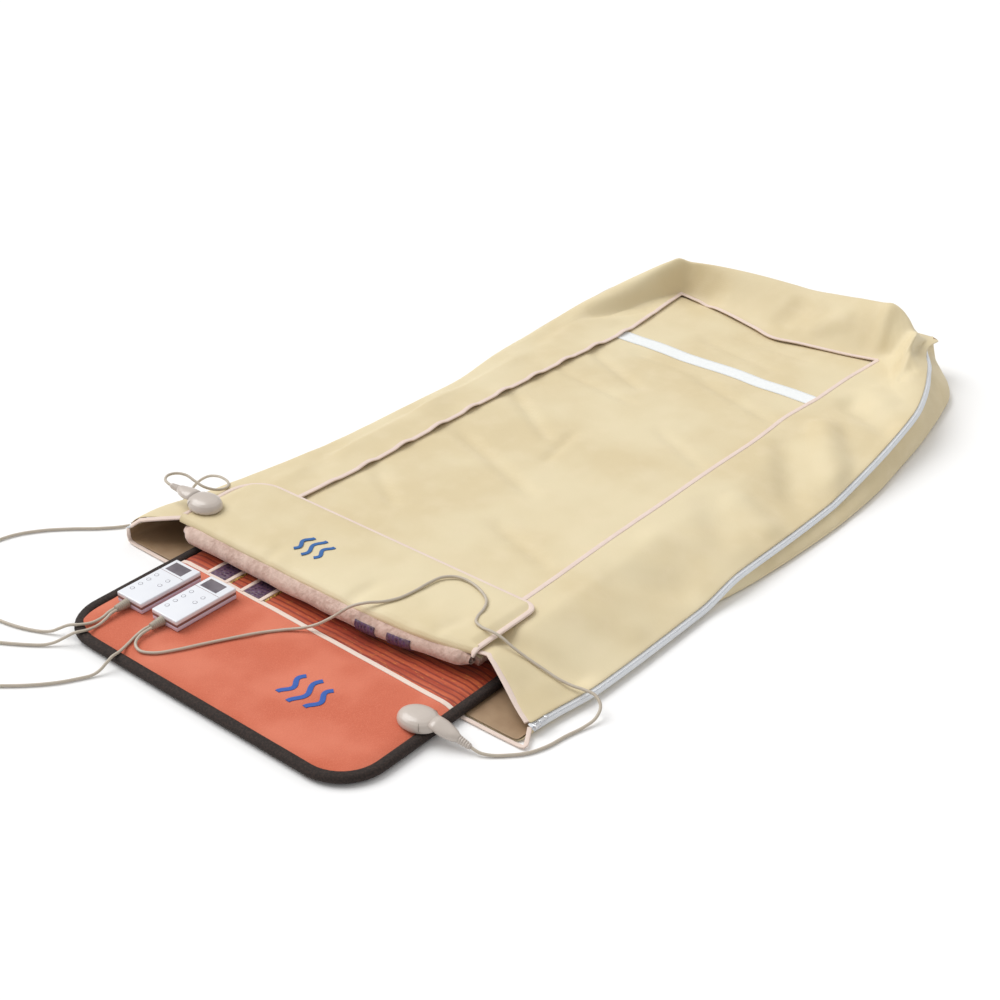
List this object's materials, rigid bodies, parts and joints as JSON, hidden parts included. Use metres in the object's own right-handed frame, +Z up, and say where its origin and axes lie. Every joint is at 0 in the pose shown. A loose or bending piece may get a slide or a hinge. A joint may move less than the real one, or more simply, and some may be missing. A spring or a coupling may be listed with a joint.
{
  "type": "infrared sauna blanket",
  "caption": "Zipped fabric body bag with a foot box, holding a lower and an upper heated stone mat, each wired through a round pod and a lead to a flat hand controller.",
  "frame": {"origin": "on the floor, under the middle of the bag base, 1 m behind the front edge of the lower mat", "axes": "+X across the blanket, +Y from the head end to the foot end, +Z up"},
  "size_m": [1.2063, 2.185, 0.145],
  "materials": {
    "cover_fabric": "woven coated fabric, fine grain",
    "lining": "smooth coated lining",
    "zip": "woven tape with a plastic coil",
    "zip_metal": "plated slider",
    "plush": "short pile plush",
    "satin": "satin with sewn channels",
    "pale_plush": "short pile plush",
    "dark_binding": "woven tape binding",
    "backing": "woven backing",
    "felt": "needled felt",
    "heating_film": "carbon fibre film in woven cloth",
    "pod_plastic": "moulded, satin gloss",
    "controller_base": "moulded, gloss",
    "controller_cover": "moulded, gloss",
    "key": "moulded, satin",
    "display": "tinted window",
    "board": "glass-epoxy laminate",
    "cord": "smooth jacket",
    "plug": "moulded plug with plated blades"
  },
  "bodies": {
    "bag_base": {"base_panel": "cover_fabric", "base_lining": "lining", "gusset_left": "cover_fabric", "gusset_right": "cover_fabric", "gusset_foot": "cover_fabric", "zip_tape_left": "zip", "zip_tape_right": "zip", "lower_back_cover": "backing", "lower_insulation": "felt", "lower_heating_layer": "heating_film", "lower_plush_apron": "plush", "lower_stone_field": "satin", "lower_binding": "dark_binding", "pod_right_shell": "pod_plastic", "pod_right_plug": "pod_plastic", "lead_right": "cord", "lead_left": "cord", "mains_lead_1": "cord", "mains_lead_2": "cord", "mains_coil_1": "cord", "mains_coil_2": "cord", "mains_plug_1": "plug", "mains_plug_2": "plug", "ctrl_1_base": "controller_base", "ctrl_1_cover": "controller_cover", "ctrl_1_display": "display", "ctrl_1_board": "board", "ctrl_1_relief": "cord", "ctrl_2_base": "controller_base", "ctrl_2_cover": "controller_cover", "ctrl_2_display": "display", "ctrl_2_board": "board", "ctrl_2_relief": "cord"},
    "bag_top": {"border_left": "cover_fabric", "border_right": "cover_fabric", "border_head": "cover_fabric", "foot_slope": "cover_fabric", "foot_back": "cover_fabric", "flap_panel": "cover_fabric", "upper_stone_face": "pale_plush", "upper_heating_layer": "heating_film", "upper_insulation": "felt", "upper_back_cover": "cover_fabric", "upper_front_edge": "pale_plush", "pod_left_shell": "pod_plastic", "pod_left_plug": "pod_plastic"},
    "slider_left": {"zip_slider_left": "zip_metal"},
    "slider_right": {"zip_slider_right": "zip_metal"},
    "ctrl_1_key_1": {"ctrl_1_key_1": "key"},
    "ctrl_1_key_2": {"ctrl_1_key_2": "key"},
    "ctrl_1_key_3": {"ctrl_1_key_3": "key"},
    "ctrl_1_key_4": {"ctrl_1_key_4": "key"},
    "ctrl_1_key_5": {"ctrl_1_key_5": "key"},
    "ctrl_1_key_6": {"ctrl_1_key_6": "key"},
    "ctrl_2_key_1": {"ctrl_2_key_1": "key"},
    "ctrl_2_key_2": {"ctrl_2_key_2": "key"},
    "ctrl_2_key_3": {"ctrl_2_key_3": "key"},
    "ctrl_2_key_4": {"ctrl_2_key_4": "key"},
    "ctrl_2_key_5": {"ctrl_2_key_5": "key"},
    "ctrl_2_key_6": {"ctrl_2_key_6": "key"}
  },
  "joints": [
    {"name": "top_open", "type": "hinge", "parent": "bag_base", "child": "bag_top", "pos_m": [-0.478, 0, 0.034], "axis": [0, -1, 0], "range_deg": [0, 85], "deforming": ["lead_right", "lead_left"]},
    {"name": "zip_left_run", "type": "slide", "parent": "bag_base", "child": "slider_left", "axis": [0, 1, 0], "range_m": [0, 1.43]},
    {"name": "zip_right_run", "type": "slide", "parent": "bag_base", "child": "slider_right", "axis": [0, 1, 0], "range_m": [0, 0.43]},
    {"name": "ctrl_1_key_1_press", "type": "slide", "parent": "bag_base", "child": "ctrl_1_key_1", "axis": [0, 0, -1], "range_m": [0, 0.0008], "stiffness_N_per_m": 300},
    {"name": "ctrl_1_key_2_press", "type": "slide", "parent": "bag_base", "child": "ctrl_1_key_2", "axis": [0, 0, -1], "range_m": [0, 0.0008], "stiffness_N_per_m": 300},
    {"name": "ctrl_1_key_3_press", "type": "slide", "parent": "bag_base", "child": "ctrl_1_key_3", "axis": [0, 0, -1], "range_m": [0, 0.0008], "stiffness_N_per_m": 300},
    {"name": "ctrl_1_key_4_press", "type": "slide", "parent": "bag_base", "child": "ctrl_1_key_4", "axis": [0, 0, -1], "range_m": [0, 0.0008], "stiffness_N_per_m": 300},
    {"name": "ctrl_1_key_5_press", "type": "slide", "parent": "bag_base", "child": "ctrl_1_key_5", "axis": [0, 0, -1], "range_m": [0, 0.0008], "stiffness_N_per_m": 300},
    {"name": "ctrl_1_key_6_press", "type": "slide", "parent": "bag_base", "child": "ctrl_1_key_6", "axis": [0, 0, -1], "range_m": [0, 0.0008], "stiffness_N_per_m": 300},
    {"name": "ctrl_2_key_1_press", "type": "slide", "parent": "bag_base", "child": "ctrl_2_key_1", "axis": [0, 0, -1], "range_m": [0, 0.0008], "stiffness_N_per_m": 300},
    {"name": "ctrl_2_key_2_press", "type": "slide", "parent": "bag_base", "child": "ctrl_2_key_2", "axis": [0, 0, -1], "range_m": [0, 0.0008], "stiffness_N_per_m": 300},
    {"name": "ctrl_2_key_3_press", "type": "slide", "parent": "bag_base", "child": "ctrl_2_key_3", "axis": [0, 0, -1], "range_m": [0, 0.0008], "stiffness_N_per_m": 300},
    {"name": "ctrl_2_key_4_press", "type": "slide", "parent": "bag_base", "child": "ctrl_2_key_4", "axis": [0, 0, -1], "range_m": [0, 0.0008], "stiffness_N_per_m": 300},
    {"name": "ctrl_2_key_5_press", "type": "slide", "parent": "bag_base", "child": "ctrl_2_key_5", "axis": [0, 0, -1], "range_m": [0, 0.0008], "stiffness_N_per_m": 300},
    {"name": "ctrl_2_key_6_press", "type": "slide", "parent": "bag_base", "child": "ctrl_2_key_6", "axis": [0, 0, -1], "range_m": [0, 0.0008], "stiffness_N_per_m": 300}
  ]
}
